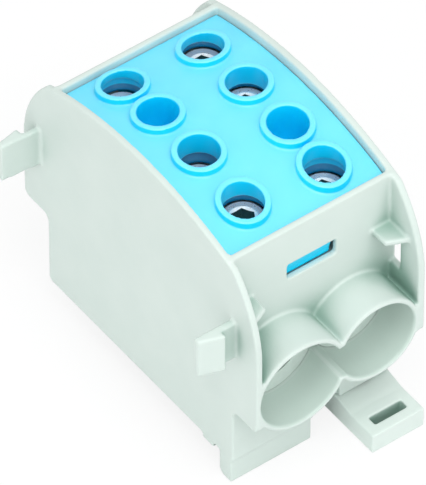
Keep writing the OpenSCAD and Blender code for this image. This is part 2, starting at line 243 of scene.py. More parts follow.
def bump(
    tree: bpy.types.NodeTree,
    shader: bpy.types.Node,
    height: bpy.types.NodeSocket,
    depth_mm: float,
    strength: float,
) -> None:
    """Feeds a height into the shader's normal.

    Args:
        tree: The material's node tree.
        shader: The Principled node.
        height: The height, from 0 to 1.
        depth_mm: What a height of 1 stands for, in millimetres.
        strength: The bump's strength.
    """
    node = tree.nodes.new("ShaderNodeBump")
    node.inputs["Distance"].default_value = depth_mm * MM
    node.inputs["Strength"].default_value = strength
    tree.links.new(height, node.inputs["Height"])
    tree.links.new(node.outputs["Normal"], shader.inputs["Normal"])


@dataclass(frozen=True)
class MouldedPlastic:
    """Moulded polyamide: a fine eroded grain and slight cloudiness.

    Attributes:
        name: The material's name.
        light: The lighter tint.
        deep: The deeper tint.
        roughness: The middle roughness.
        translucency: The share of light that scatters below the surface.
        grain_mm: Depth of the grain.
        grains_per_mm: How fine the grain is.
        clouds_per_mm: How fine the cloudiness is.
        ior: The index of refraction.
        scatter_mm: How far light scatters below the surface.
    """

    name: str
    light: Colour
    deep: Colour
    roughness: float = 0.42
    translucency: float = 0.0
    grain_mm: float = 0.012
    grains_per_mm: float = 3.2
    clouds_per_mm: float = 0.12
    ior: float = 1.52
    scatter_mm: float = 0.7

    def material(self) -> bpy.types.Material:
        """Builds the material."""
        material, shader = new_material(self.name)
        tree = material.node_tree
        cloud = noise(tree, self.clouds_per_mm, 3.0, 0.5)
        tree.links.new(
            self.colour(tree, tint(tree, cloud, self.deep, self.light)),
            shader.inputs["Base Color"],
        )
        grain = noise(tree, self.grains_per_mm, 2.0, 0.55)
        tree.links.new(
            remap(tree, grain, self.roughness - 0.05, self.roughness + 0.06),
            shader.inputs["Roughness"],
        )
        bump(tree, shader, grain, self.grain_mm, 0.35)
        shader.inputs["IOR"].default_value = self.ior
        shader.inputs["Subsurface Weight"].default_value = self.translucency
        shader.inputs["Subsurface Radius"].default_value = (1.0, 1.0, 1.0)
        shader.inputs["Subsurface Scale"].default_value = self.scatter_mm * MM
        return material

    def colour(
        self, tree: bpy.types.NodeTree, surface: bpy.types.NodeSocket
    ) -> bpy.types.NodeSocket:
        """The colour where the piece is open to the light."""
        return surface


@dataclass(frozen=True)
class NaturalPlastic(MouldedPlastic):
    """An undyed plastic with painted shade: darker and greener in its recesses and inside
    its funnels.

    Attributes:
        recess_shade: The painted shade colour deep between close walls.
        reach_mm: How near walls must be for the painted shade.
        openness: The ambient light that the painted shade begins and ends at.
        throat_shade: The painted shade colour inside the funnels.
        throat_mm: X and Z of the funnels' axes, the radius that the inside of
            the funnels keeps within, and how far from the middle they begin.
        inward: How far a funnel's wall must face its axis, as shares of the axis's X, for
            the painted shade inside the funnels to begin and to be full.
    """

    recess_shade: Colour = (0.27, 0.42, 0.355)
    reach_mm: float = 9.0
    openness: tuple[float, float] = (0.25, 0.72)
    throat_shade: Colour = (0.524, 0.631, 0.579)
    throat_mm: tuple[float, float, float, float] = (7.9, 19.15, 9.5, 24.8)
    inward: tuple[float, float] = (0.35, 0.65)

    def colour(
        self, tree: bpy.types.NodeTree, surface: bpy.types.NodeSocket
    ) -> bpy.types.NodeSocket:
        """Paints shade: blends to a darker, greener colour where walls stand close.

        Args:
            tree: The material's node tree.
            surface: The colour of the open surface.

        Returns:
            The blended colour socket.
        """
        # Painted shade: ambient occlusion darkens and greens the colour where walls stand
        # close.
        walls = tree.nodes.new("ShaderNodeAmbientOcclusion")
        walls.samples = 8
        walls.only_local = True
        walls.inputs["Distance"].default_value = self.reach_mm * MM
        share = smooth_step(tree, walls.outputs["AO"], *self.openness)
        # Painted shade inside the funnels, on the walls that face their axes.
        partly_shaded = blended(tree, self.clear_of_throat_shade(tree), self.throat_shade, surface)
        return blended(tree, share, self.recess_shade, partly_shaded)

    def clear_of_throat_shade(self, tree: bpy.types.NodeTree) -> bpy.types.NodeSocket:
        """Where the surface is clear of the painted shade inside the funnels.

        Args:
            tree: The material's node tree.

        Returns:
            A socket, 0 on the inside of a funnel and 1 elsewhere.
        """
        axis_x, axis_z, reach, start = (size * MM for size in self.throat_mm)
        where, facing = object_space(tree)
        x, y, z = (where[axis] for axis in "XYZ")
        across = maths(tree, "SUBTRACT", maths(tree, "ABSOLUTE", x, 0.0), axis_x)
        up = maths(tree, "SUBTRACT", z, axis_z)
        side = maths(tree, "MULTIPLY", facing["X"], maths(tree, "SIGN", x, 0.0))
        outward = maths(
            tree,
            "ADD",
            maths(tree, "MULTIPLY", side, across),
            maths(tree, "MULTIPLY", facing["Z"], up),
        )
        begun, full = (-share * axis_x for share in self.inward)
        inward = smooth_step(tree, outward, begun, full)
        spread = maths(
            tree,
            "ADD",
            maths(tree, "MULTIPLY", across, across),
            maths(tree, "MULTIPLY", up, up),
        )
        near = maths(tree, "LESS_THAN", spread, reach * reach)
        ahead = maths(tree, "GREATER_THAN", maths(tree, "ABSOLUTE", y, 0.0), start)
        within = maths(tree, "MULTIPLY", near, ahead)
        return maths(tree, "SUBTRACT", 1.0, maths(tree, "MULTIPLY", inward, within))


@dataclass(frozen=True)
class DyedPlastic(MouldedPlastic):
    """A dyed plastic painted by how light falls: whiter on its open top as a painted
    sheen, a deeper blue on steeply sloped walls and in holes as painted shade, and darker
    at the sleeves' feet as painted shade.

    Attributes:
        steep_shade: The painted shade colour of steeply sloped walls and of the inside of
            holes.
        crown_mm: Height of the arch that the depth is taken from.
        arch_mm: Radius of that arch, in the plane of Y and Z.
        depth_mm: The depths below the arch where the painted shade begins and where it is
            full.
        upward: The normal's Z that the top's colour, whitened as a painted sheen, begins
            and is full at.
        shade: The colour at the foot of the sleeves, beside the screws.
        shade_mm: Where the feet of the large and the small sleeves begin. The
            large ones stand where X and Y have one sign, the small ones elsewhere.
        rows_mm: Distances from the middle that bound the small sleeves' row.
        diagonal_mm2: The product of X and Y that parts large and small sleeves.
        fade_mm: Where the shade ends, below and above the feet's level.
    """

    steep_shade: Colour = (0.0, 0.64, 0.955)
    crown_mm: float = 50.0
    arch_mm: float = 78.0
    depth_mm: tuple[float, float] = (0.39, 1.3)
    upward: tuple[float, float] = (0.15, 0.6)
    shade: Colour = (0.0, 0.22, 0.42)
    shade_mm: tuple[float, float] = (46.75, 45.0)
    rows_mm: tuple[float, float] = (12.5, 21.7)
    diagonal_mm2: float = -2.0
    fade_mm: tuple[float, float] = (-0.1, 0.2)

    def colour(
        self, tree: bpy.types.NodeTree, surface: bpy.types.NodeSocket
    ) -> bpy.types.NodeSocket:
        """Blends to the painted shade colour on steeply sloped walls and below the arch,
        then to the painted shade at the sleeves' feet.

        Args:
            tree: The material's node tree.
            surface: The colour of the open surface.

        Returns:
            The blended colour socket.
        """
        where, facing = object_space(tree)
        fall = maths(tree, "MULTIPLY", where["Y"], where["Y"])
        fall = maths(tree, "MULTIPLY", fall, 0.5 / (self.arch_mm * MM))
        level = maths(tree, "ADD", where["Z"], fall)
        depth = maths(tree, "SUBTRACT", self.crown_mm * MM, level)
        begun, full = (level * MM for level in self.depth_mm)
        open_top = smooth_step(tree, depth, full, begun)
        upward = smooth_step(tree, facing["Z"], *self.upward)
        share = maths(tree, "MULTIPLY", open_top, upward)
        # Painted shade: a deeper blue on steeply sloped walls and below the arch; the
        # open top keeps the whiter blue as a painted sheen.
        partly_shaded = blended(tree, share, self.steep_shade, surface)
        # Painted shade at the foot of the sleeves, beside the screws.
        return blended(tree, self.unshaded(tree, where), self.shade, partly_shaded)

    def unshaded(
        self, tree: bpy.types.NodeTree, where: bpy.types.NodeOutputs
    ) -> bpy.types.NodeSocket:
        """Where the cover is clear of the shade at the foot of its sleeves.

        Args:
            tree: The material's node tree.
            where: The X, Y and Z sockets of the object coordinates.

        Returns:
            A socket, 0 in the shade and 1 elsewhere.
        """
        large, small = (level * MM for level in self.shade_mm)
        inner, outer = (row * MM for row in self.rows_mm)
        x, y, z = (where[axis] for axis in "XYZ")
        off = maths(tree, "ABSOLUTE", y, 0.0)
        diagonal = maths(tree, "MULTIPLY", x, y)
        on_large = maths(tree, "GREATER_THAN", diagonal, self.diagonal_mm2 * MM * MM)
        on_small = maths(
            tree,
            "MULTIPLY",
            maths(tree, "SUBTRACT", 1.0, on_large),
            maths(tree, "GREATER_THAN", off, inner),
        )
        level = maths(
            tree,
            "ADD",
            maths(tree, "MULTIPLY", on_large, large),
            maths(tree, "MULTIPLY", on_small, small),
        )
        none, full = (height * MM for height in self.fade_mm)
        above = smooth_step(tree, maths(tree, "SUBTRACT", z, level), none, full)
        return maths(tree, "MAXIMUM", above, maths(tree, "GREATER_THAN", off, outer))


@dataclass(frozen=True)
class PlatedMetal:
    """Tin or zinc plating over machined metal.

    Attributes:
        name: The material's name.
        light: The lighter tint.
        deep: The deeper tint.
        roughness: The middle roughness.
        spots_per_mm: How fine the plating's mottling is.
        grain_mm: Depth of the tool marks.
        metallic: How metallic the plating looks; less is more matt.
    """

    name: str
    light: Colour
    deep: Colour
    roughness: float
    spots_per_mm: float
    grain_mm: float
    metallic: float = 1.0

    def material(self) -> bpy.types.Material:
        """Builds the material."""
        material, shader = new_material(self.name)
        tree = material.node_tree
        mottle = noise(tree, self.spots_per_mm, 4.0, 0.6)
        tree.links.new(
            tint(tree, mottle, self.deep, self.light), shader.inputs["Base Color"]
        )
        tree.links.new(
            remap(tree, mottle, self.roughness + 0.08, self.roughness - 0.06),
            shader.inputs["Roughness"],
        )
        bump(
            tree,
            shader,
            noise(tree, 5.0 * self.spots_per_mm, 2.0, 0.5),
            self.grain_mm,
            0.3,
        )
        shader.inputs["Metallic"].default_value = self.metallic
        return material


# The grey carries painted shade in its recesses and inside the funnels.
GREY = NaturalPlastic(
    "grey_polyamide", light=(0.6, 0.685, 0.645), deep=(0.575, 0.665, 0.625)
)
# The latch's grey is painted lighter than the housing's: painted light on the latch,
# which the funnels shade.
GREY_PAINTED_LIGHTER = NaturalPlastic(
    "grey_polyamide_painted_lighter", light=(0.65, 0.735, 0.695), deep=(0.63, 0.715, 0.675)
)
# The blue's own colour, whitened on the open top as a painted sheen; its walls and holes
# carry painted shade.
BLUE = DyedPlastic(
    "blue_polyamide",
    light=(0.18, 0.74, 0.985),
    deep=(0.16, 0.715, 0.975),
    roughness=0.36,
    translucency=0.35,
    grain_mm=0.008,
)
TIN = PlatedMetal(
    "tin_plating", (0.9, 0.96, 0.93), (0.84, 0.9, 0.87), 0.42, 0.8, 0.01, 0.6
)
ZINC = PlatedMetal(
    "zinc_plating", (0.94, 0.97, 0.98), (0.84, 0.88, 0.9), 0.3, 1.4, 0.01, 0.7
)
# A dark teal zinc painted inside the screws' sockets as painted shade.
SOCKET_SHADE_ZINC = PlatedMetal(
    "zinc_painted_socket_shade", (0.16, 0.34, 0.36), (0.1, 0.24, 0.27), 0.3, 1.4, 0.01, 0.8
)


# ---- Meshes ----


def baked(source: bpy.types.Object, name: str) -> bpy.types.Object:
    """Turns an object and its modifiers into a new object with a plain mesh.

    Args:
        source: The object with live modifiers, which is removed.
        name: The new object's name.

    Returns:
        The new object, linked to the scene.
    """
    graph = bpy.context.evaluated_depsgraph_get()
    mesh = bpy.data.meshes.new_from_object(source.evaluated_get(graph))
    mesh.name = name
    bpy.data.objects.remove(source, do_unlink=True)
    piece = bpy.data.objects.new(name, mesh)
    bpy.context.scene.collection.objects.link(piece)
    return piece


@dataclass(frozen=True)
class SoftEdges:
    """Rounds every edge of a moulded solid, as its mould does.

    Attributes:
        cell_mm: Size of the cells that the solid is rebuilt with.
        passes: Smoothing passes; more give rounder edges.
        triangles: About how many triangles the result may have.
    """

    cell_mm: float
    passes: int
    triangles: int

    def copy_of(
        self,
        node: bpy.types.Object,
        name: str,
        additions: Meshes = (),
        cuts: Meshes = (),
    ) -> bpy.types.Object:
        """Makes the rounded copy of a CAD node.

        Args:
            node: The CAD node, which stays as it is.
            name: The copy's name.
            additions: Closed meshes that are fused in.
            cuts: Closed meshes that are cut away first.

        Returns:
            The copy, at the origin, with its place in its mesh.
        """
        solid = node.data
        if cuts:
            solid = cut_away(node.data, cuts, name)
        both = bmesh.new()
        for part in (solid, *additions):
            both.from_mesh(part)
        mesh = bpy.data.meshes.new(name)
        both.to_mesh(mesh)
        both.free()
        mesh.transform(scaling(1.0 / MM))
        rough = bpy.data.objects.new(name + "_rough", mesh)
        bpy.context.scene.collection.objects.link(rough)
        weld = rough.modifiers.new("merge", "WELD")
        weld.merge_threshold = 0.001
        cells = rough.modifiers.new("cells", "REMESH")
        cells.mode = "VOXEL"
        cells.voxel_size = self.cell_mm
        cells.adaptivity = 0.0
        soft = rough.modifiers.new("soft", "SMOOTH")
        soft.factor = 0.5
        soft.iterations = self.passes
        piece = baked(rough, name)
        count = 2 * len(piece.data.polygons)
        if count > self.triangles:
            thin = piece.modifiers.new("thin", "DECIMATE")
            thin.ratio = self.triangles / count
            piece = baked(piece, name)
        piece.data.transform(scaling(MM))
        piece.data.shade_smooth()
        return piece


def scaling(factor: float) -> Matrix:
    """A uniform scaling matrix."""
    return Matrix.Diagonal((factor, factor, factor, 1.0))


def cut_away(
    solid: bpy.types.Mesh, cuts: Meshes, name: str
) -> bpy.types.Mesh:
    """Cuts closed meshes out of a copy of a solid.

    Args:
        solid: The solid, which stays as it is.
        cuts: The closed meshes.
        name: A name for the copy.

    Returns:
        The cut copy.
    """
    copy = solid.copy()
    copy.materials.clear()
    blank = bpy.data.objects.new(name + "_blank", copy)
    bpy.context.scene.collection.objects.link(blank)
    weld = blank.modifiers.new("merge", "WELD")
    weld.merge_threshold = 0.001 * MM
    tools = []
    for cut in cuts:
        tool = bpy.data.objects.new(name + "_cut", cut)
        bpy.context.scene.collection.objects.link(tool)
        away = blank.modifiers.new("cut", "BOOLEAN")
        away.operation = "DIFFERENCE"
        away.solver = "EXACT"
        away.object = tool
        tools.append(tool)
    piece = baked(blank, name)
    mesh = piece.data
    bpy.data.objects.remove(piece, do_unlink=True)
    for tool in tools:
        bpy.data.objects.remove(tool, do_unlink=True)
    return mesh


def prism_along_y(
    outline: tuple[tuple[float, float], ...], front_mm: float, back_mm: float
) -> bpy.types.Mesh:
    """A prism along Y.

    Args:
        outline: X and Z of each corner, in millimetres.
        front_mm: Y of its front end.
        back_mm: Y of its back end.

    Returns:
        The closed mesh, with its faces outward.
    """
    return prism([[(x, y, z) for x, z in outline] for y in (front_mm, back_mm)])


def prism(ends: list[list[tuple[float, float, float]]]) -> bpy.types.Mesh:
    """Joins two like outlines into a closed mesh.

    Args:
        ends: The corners of both outlines, in millimetres.

    Returns:
        The closed mesh, with its faces outward.
    """
    shape = bmesh.new()
    near, far = (
        [shape.verts.new(Vector(corner) * MM) for corner in outline] for outline in ends
    )
    shape.faces.new(near)
    shape.faces.new(far)
    for index, here in enumerate(near):
        after = (index + 1) % len(near)
        shape.faces.new((here, near[after], far[after], far[index]))
    bmesh.ops.recalc_face_normals(shape, faces=shape.faces)
    mesh = bpy.data.meshes.new("prism")
    shape.to_mesh(mesh)
    shape.free()
    return mesh


def block_mm(low: tuple[float, ...], high: tuple[float, ...]) -> bpy.types.Mesh:
    """A box between two corners, in millimetres."""
    outline = ((low[0], low[2]), (high[0], low[2]), (high[0], high[2]), (low[0], high[2]))
    return prism_along_y(outline, low[1], high[1])


def screw_names(frame: dict) -> list[str]:
    """The names of the screws' nodes, in order."""
    return sorted(name for name in frame["nodes"] if "screw" in name)


def lathe(
    outline: tuple[tuple[float, float], ...], centre: Vector, sides: int = 96
) -> bpy.types.Mesh:
    """Turns a closed outline about a vertical axis.

    Args:
        outline: Radius and height of each corner.
        centre: A point on the axis.
        sides: How many sides the turned piece has.

    Returns:
        The closed mesh, with its faces outward.
    """
    shape = bmesh.new()
    rings = []
    for step in range(sides):
        turn = math.tau * step / sides
        rings.append(
            [
                shape.verts.new(
                    (
                        centre.x + radius * math.cos(turn),
                        centre.y + radius * math.sin(turn),
                        height,
                    )
                )
                for radius, height in outline
            ]
        )
    for step in range(sides):
        here, there = rings[step], rings[(step + 1) % sides]
        for corner in range(len(outline)):
            after = (corner + 1) % len(outline)
            shape.faces.new((here[corner], there[corner], there[after], here[after]))
    bmesh.ops.recalc_face_normals(shape, faces=shape.faces)
    mesh = bpy.data.meshes.new("turned")
    shape.to_mesh(mesh)
    shape.free()
    return mesh


def dress(
    piece: bpy.types.Object, finish: bpy.types.Material | None, body: str
) -> None:
    """Gives a piece its finish and its body.

    Args:
        piece: The piece.
        finish: The material, or None where the piece has its materials.
        body: The body that the piece rides on.
    """
    if finish:
        piece.data.materials.clear()
        piece.data.materials.append(finish)
    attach(piece, body)
    LOG.info("%s: %d faces on %s", piece.name, len(piece.data.polygons), body)


@dataclass
class Housing:
    """The moulded housing with its funnels, hooks, shelves and foot.

    Beside the foot its front skirt is set back, over the latch and under the
    funnels.

    Attributes:
        edges: How its edges are rounded.
        skirt_y_mm: Front of the skirt once it is set back.
        skirt_t_mm: Wall of the skirt.
        end_y_mm: Front of the end wall above the floor.
        floor_mm: Top of the floor.
        step_mm: Top of the lower body.
        guide_mm: Left and right side and top of the latch's guide.
        guide_y_mm: Front of the latch's guide once it is set back.
        funnel_mm: X, Z and outer radius of the funnel over the latch.
        left_mm: Where the skirt begins to stand back.
        right_mm: Just past the right side of the housing.
        reach_mm: How far in front of the set-back walls the cuts reach.
    """

    edges: SoftEdges = field(default_factory=lambda: SoftEdges(0.26, 5, 190_000))
    skirt_y_mm: float = -24.0
    skirt_t_mm: float = 1.5
    end_y_mm: float = -24.75
    floor_mm: float = 9.2
    step_mm: float = 13.0
    guide_mm: tuple[float, float, float] = (5.8, 16.2, 4.45)
    guide_y_mm: float = -25.1
    funnel_mm: tuple[float, float, float] = (7.9, 19.5, 8.65)
    left_mm: float = -0.3
    right_mm: float = 17.6
    reach_mm: float = 3.0

    def skirt_cuts(self) -> Meshes:
        """What is cut off in front of the set-back skirt, end wall and guide."""
        left, right, top = self.guide_mm
        centre, level, radius = self.funnel_mm
        front = self.reach_mm
        low = -0.2
        below = (
            (self.left_mm, low),
            (left, low),
            (left, top),
            (right, top),
            (right, low),
            (self.right_mm, low),
            (self.right_mm, self.floor_mm),
            (self.left_mm, self.floor_mm),
        )
        reach = math.sqrt(radius**2 - (level - self.step_mm) ** 2)
        arc = []
        for step in range(9):
            x = centre + reach * (1 - step / 4)
            arc.append((x, level - math.sqrt(radius**2 - (x - centre) ** 2)))
        above = (
            (self.left_mm, self.floor_mm - 0.01),
            (self.right_mm, self.floor_mm - 0.01),
            (self.right_mm, self.step_mm),
            *arc,
            (self.left_mm, self.step_mm),
        )
        return (
            prism_along_y(below, self.skirt_y_mm - front, self.skirt_y_mm),
            prism_along_y(above, self.end_y_mm - front, self.end_y_mm),
            block_mm(
                (left - 0.5, self.guide_y_mm - front, low),
                (right + 0.5, self.guide_y_mm, top + 0.5),
            ),
        )

    def skirt_walls(self) -> Meshes:
        """The walls of the set-back skirt, around the latch's guide."""
        left, right, top = self.guide_mm
        back = self.skirt_y_mm + self.skirt_t_mm
        outer = self.right_mm - 0.1
        low = 0.05
        spans = (
            (self.left_mm - 0.3, left + 0.3, low),
            (left, right, top - 0.2),
            (right - 0.3, outer, low),
        )
        return tuple(
            block_mm((one, self.skirt_y_mm, foot), (other, back, self.floor_mm - 0.1))
            for one, other, foot in spans
        )

    def build(self, frame: dict, finish: bpy.types.Material) -> None:
        """Builds and dresses the housing.

        Args:
            frame: The loaded frame.
            finish: The grey plastic.
        """
        shell = self.edges.copy_of(
            frame["nodes"]["housing"],
            "housing_shell",
            self.skirt_walls(),
            self.skirt_cuts(),
        )
        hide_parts("housing")
        dress(shell, finish, Body.BASE.value)


@dataclass
class Cover:
    """The arched cover with its collars.

    Attributes:
        edges: How its edges are rounded.
        guard_top_mm: Where the guards meet the undersides of the sleeves.
        guard_lap_mm: How far a guard reaches below its screw's top.
        guard_gap_mm: Play between a screw and its guard.
        guard_wall_mm: Wall of a guard.
    """

    edges: SoftEdges = field(default_factory=lambda: SoftEdges(0.17, 12, 170_000))
    guard_top_mm: float = 46.9
    guard_lap_mm: float = 0.3
    guard_gap_mm: float = 0.2
    guard_wall_mm: float = 0.55

    def guard(self, screw: str) -> bpy.types.Mesh:
        """Makes the guard that carries a sleeve's wall down around its screw.

        Args:
            screw: The screw's node.

        Returns:
            A closed tube.
        """
        low, high = (Vector(corner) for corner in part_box(screw))
        inner = (high.x - low.x) / 2 + self.guard_gap_mm * MM
        outer = inner + self.guard_wall_mm * MM
        top = self.guard_top_mm * MM
        foot = high.z - self.guard_lap_mm * MM
        rings = ((inner, foot), (inner, top), (outer, top), (outer, foot))
        return lathe(rings, (low + high) / 2)

    def build(self, frame: dict, finish: bpy.types.Material) -> None:
        """Builds and dresses the cover.

        Args:
            frame: The loaded frame.
            finish: The blue plastic.
        """
        guards = tuple(self.guard(name) for name in screw_names(frame))
        plate = self.edges.copy_of(frame["nodes"]["top_cover"], "cover_plate", guards)
        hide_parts("top_cover")
        dress(plate, finish, Body.BASE.value)


@dataclass
class RailLatch:
    """The slotted latch that slides under the front skirt.

    Attributes:
        edges: How its edges are rounded.
    """

    edges: SoftEdges = field(default_factory=lambda: SoftEdges(0.15, 14, 90_000))

    def build(self, frame: dict, finish: bpy.types.Material) -> None:
        """Builds and dresses the latch.

        Args:
            frame: The loaded frame.
            finish: The grey plastic, painted lighter as painted light.
        """
        slide = self.edges.copy_of(frame["nodes"]["rail_latch"], "latch_slide")
        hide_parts("rail_latch")
        dress(slide, finish, Body.LATCH.value)


@dataclass
class ClampBlock:
    """The metal block; its solid stays and gets a finish."""

    def build(self, frame: dict, finish: bpy.types.Material) -> None:
        """Dresses the block.

        Args:
            frame: The loaded frame.
            finish: The tin plating.
        """
        materials = frame["nodes"]["clamp_block"].data.materials
        if not materials:
            materials.append(finish)
        for place in range(len(materials)):
            materials[place] = finish
        LOG.info("clamp_block: tinned")


# ---- Clamp screws by Geometry Nodes ----


@dataclass(frozen=True)
class NodeGraph:
    """A geometry node tree under construction.

    Attributes:
        tree: The tree.
        given: Its group input.
    """

    tree: bpy.types.NodeTree
    given: bpy.types.Node

    @classmethod
    def begun(cls, name: str, sizes: tuple[str, ...], place: str) -> NodeGraph:
        """Starts a tree that takes named inputs and gives a geometry.

        Args:
            name: The tree's name.
            sizes: The names of its inputs that hold a number.
            place: The name of its input that holds a point.

        Returns:
            The graph.
        """
        tree = bpy.data.node_groups.new(name, "GeometryNodeTree")
        face = tree.interface
        face.new_socket("Geometry", in_out="OUTPUT", socket_type="NodeSocketGeometry")
        for size in sizes:
            face.new_socket(size, in_out="INPUT", socket_type="NodeSocketFloat")
        face.new_socket(place, in_out="INPUT", socket_type="NodeSocketVector")
        return cls(tree, tree.nodes.new("NodeGroupInput"))

    def node(self, kind: str, plugs: dict[str | int, object]) -> bpy.types.Node:
        """Adds a node.

        Args:
            kind: The node's type.
            plugs: For each input a value, a socket or a list of sockets.

        Returns:
            The node.
        """
        node = self.tree.nodes.new(kind)
        for key, item in plugs.items():
            for one in item if isinstance(item, list) else [item]:
                if isinstance(one, bpy.types.NodeSocket):
                    self.tree.links.new(one, node.inputs[key])
                else:
                    node.inputs[key].default_value = one
        return node

    def value(self, name: str) -> bpy.types.NodeSocket:
        """One named input."""
        return self.given.outputs[name]

    def times(self, name: str, factor: float) -> bpy.types.NodeSocket:
        """One named input times a factor."""
        return maths(self.tree, "MULTIPLY", self.value(name), factor)

    def less(self, one: object, other: object) -> bpy.types.NodeSocket:
        """The difference of two values."""
        return maths(self.tree, "SUBTRACT", one, other)

    def lifted(
        self, geometry: bpy.types.NodeSocket, height: bpy.types.NodeSocket
    ) -> bpy.types.NodeSocket:
        """The geometry moved along Z."""
        offset = self.node("ShaderNodeCombineXYZ", {"Z": height}).outputs[0]
        plugs = {"Geometry": geometry, "Translation": offset}
        return self.node("GeometryNodeTransform", plugs).outputs[0]

    def boolean(
        self, operation: str, plugs: dict[str | int, object]
    ) -> bpy.types.NodeSocket:
        """The exact union or difference of meshes."""
        node = self.node("GeometryNodeMeshBoolean", plugs)
        node.operation = operation
        node.solver = "EXACT"
        return node.outputs["Mesh"]


@dataclass
class ClampScrews:
    """The set screws, made by one node tree.

    Attributes:
        socket_mm: Width across flats of the socket.
        socket_depth_mm: Depth of the socket.
        pitch_mm: Pitch of the thread.
        thread_mm: Depth of the thread.
        bevel_mm: Bevel at the top edge.
        play_mm: How much slimmer than its solid a screw is.
        point_bevels: How much slimmer the core's point is than its top.
        start_bevels: How far above the point the thread starts.
        plain_bevels: How much of the length has no thread.
        sink: The countersink's radii, as shares of the socket's.
    """

    socket_mm: float = 4.0
    socket_depth_mm: float = 4.5
    pitch_mm: float = 1.25
    thread_mm: float = 0.5
    bevel_mm: float = 0.3
    play_mm: float = 0.02
    point_bevels: float = 1.8
    start_bevels: float = 4.6
    plain_bevels: float = 7.0
    sink: tuple[float, float] = (1.2, 0.8)

    def turned(
        self, graph: NodeGraph, core_radius: bpy.types.NodeSocket
    ) -> bpy.types.NodeSocket:
        """The core, tapered down to its point, with the bevelled head ring."""
        core = graph.node(
            "GeometryNodeMeshCone",
            {
                "Vertices": 64,
                "Side Segments": 1,
                "Radius Top": core_radius,
                "Radius Bottom": graph.less(
                    core_radius, graph.times("Bevel", self.point_bevels)
                ),
                "Depth": graph.less(graph.value("Length"), graph.value("Bevel")),
            },
        )
        head = graph.node(
            "GeometryNodeMeshCone",
            {
                "Vertices": 64,
                "Radius Top": graph.less(graph.value("Radius"), graph.value("Bevel")),
                "Radius Bottom": graph.value("Radius"),
                "Depth": graph.value("Bevel"),
            },
        )
        both = [
            graph.lifted(core.outputs["Mesh"], graph.times("Length", -1.0)),
            graph.lifted(head.outputs["Mesh"], graph.times("Bevel", -1.0)),
        ]
        return graph.boolean("UNION", {"Mesh 2": both})

    def socketed(
        self, graph: NodeGraph, blank: bpy.types.NodeSocket
    ) -> bpy.types.NodeSocket:
        """The blank with its hexagon socket and countersink cut."""
        bore = graph.node(
            "GeometryNodeMeshCylinder",
            {
                "Vertices": 6,
                "Radius": graph.value("Socket Radius"),
                "Depth": graph.times("Socket Depth", 2.0),
            },
        )
        wide, narrow = self.sink
        cone = graph.node(
            "GeometryNodeMeshCone",
            {
                "Vertices": 48,
                "Radius Top": graph.times("Socket Radius", wide),
                "Radius Bottom": graph.times("Socket Radius", narrow),
                "Depth": graph.value("Bevel"),
            },
        )
        sink = graph.lifted(cone.outputs["Mesh"], graph.times("Bevel", -0.8))
        cuts = [bore.outputs["Mesh"], sink]
        return graph.boolean("DIFFERENCE", {"Mesh 1": blank, "Mesh 2": cuts})

    def thread(
        self, graph: NodeGraph, core_radius: bpy.types.NodeSocket
    ) -> bpy.types.NodeSocket:
        """The thread, a square on its corner swept along a helix."""
        threaded = graph.less(
            graph.value("Length"), graph.times("Bevel", self.plain_bevels)
        )
        turns = maths(graph.tree, "DIVIDE", threaded, graph.value("Pitch"))
        helix = graph.node(
            "GeometryNodeCurveSpiral",
            {
                "Resolution": 32,
                "Rotations": turns,
                "Start Radius": core_radius,
                "End Radius": core_radius,
                "Height": maths(graph.tree, "MULTIPLY", turns, graph.value("Pitch")),
            },
        )
        start = maths(
            graph.tree,
            "ADD",
            graph.times("Length", -1.0),
            graph.times("Bevel", self.start_bevels),
        )
        ridge = graph.node(
            "GeometryNodeCurvePrimitiveCircle",
            {"Resolution": 4, "Radius": graph.value("Thread")},
        )
        sweep = graph.node(
            "GeometryNodeCurveToMesh",
            {
                "Curve": graph.lifted(helix.outputs["Curve"], start),
                "Profile Curve": ridge.outputs["Curve"],
                "Fill Caps": True,
            },
        )
        return sweep.outputs["Mesh"]

    def socket_shade_zone(self, graph: NodeGraph) -> bpy.types.NodeSocket:
        """Where the surface lies within the socket and below its countersink, which gets
        painted shade.
        """
        spot = graph.node("GeometryNodeInputPosition", {}).outputs[0]
        offset = graph.node("ShaderNodeVectorMath", {0: spot, 1: graph.value("Top")})
        offset.operation = "SUBTRACT"
        split = graph.node("ShaderNodeSeparateXYZ", {0: offset.outputs[0]})
        x, y, z = (split.outputs[axis] for axis in "XYZ")
        square = maths(
            graph.tree,
            "ADD",
            maths(graph.tree, "MULTIPLY", x, x),
            maths(graph.tree, "MULTIPLY", y, y),
        )
        away = maths(graph.tree, "SQRT", square, 0.0)
        tests = (
            ("LESS_THAN", away, graph.times("Socket Radius", 1.01)),
            ("LESS_THAN", z, graph.times("Bevel", -0.9)),
            ("GREATER_THAN", z, graph.times("Socket Depth", -1.1)),
        )
        within, sunk, above = (maths(graph.tree, *test) for test in tests)
        both = maths(graph.tree, "MULTIPLY", within, sunk)
        return maths(graph.tree, "MULTIPLY", both, above)

    def tree(
        self, finish: bpy.types.Material, inside: bpy.types.Material
    ) -> bpy.types.NodeTree:
        """Builds the node tree of one screw.

        Args:
            finish: The zinc plating.
            inside: A dark zinc painted inside the socket as shade.

        Returns:
            The tree, with its sizes as named inputs.
        """
        sizes = ("Radius", "Length", "Socket Radius", "Socket Depth", "Pitch", "Thread")
        graph = NodeGraph.begun("clamp_screw", (*sizes, "Bevel"), "Top")
        core_radius = graph.less(graph.value("Radius"), graph.value("Thread"))
        cut = self.socketed(graph, self.turned(graph, core_radius))
        sweep = self.thread(graph, core_radius)
        shape = graph.node("GeometryNodeJoinGeometry", {"Geometry": [cut, sweep]})
        # The socket's walls and floor get the dark zinc as painted shade.
        socket_shade_plugs = {"Material": inside, "Selection": self.socket_shade_zone(graph)}
        for kind, plugs in (
            ("GeometryNodeTransform", {"Translation": graph.value("Top")}),
            ("GeometryNodeRealizeInstances", {}),
            ("GeometryNodeSetMaterial", {"Material": finish}),
            ("GeometryNodeSetMaterial", socket_shade_plugs),
            ("NodeGroupOutput", {}),
        ):
            shape = graph.node(kind, {"Geometry": shape.outputs[0], **plugs})
        return graph.tree

